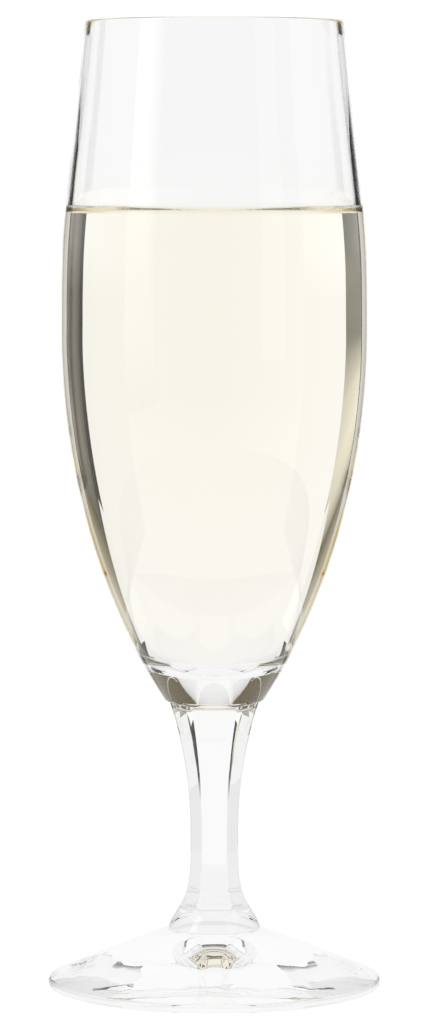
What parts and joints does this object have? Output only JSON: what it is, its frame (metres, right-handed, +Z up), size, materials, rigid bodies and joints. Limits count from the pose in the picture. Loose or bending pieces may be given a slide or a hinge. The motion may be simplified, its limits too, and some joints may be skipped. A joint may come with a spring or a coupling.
{
  "type": "champagne flute",
  "caption": "Tulip-shaped champagne flute of clear glass on a short faceted stem and a round foot, partly filled with pale white wine.",
  "frame": {"origin": "centre of the ring that the foot rests on, on the table", "axes": "+Z up along the axis of the glass, +X through one corner of the six-sided stem, so that a flat faces -Y"},
  "size_m": [0.0588, 0.0588, 0.17],
  "materials": {
    "foot_glass": "clear, fire-polished",
    "stem_glass": "clear, fire-polished facets",
    "bowl_glass": "clear, fire-polished",
    "wine": "clear pale gold liquid"
  },
  "bodies": {
    "root": {"foot": "foot_glass", "stem": "stem_glass", "bowl": "bowl_glass", "wine": "wine"}
  },
  "joints": []
}
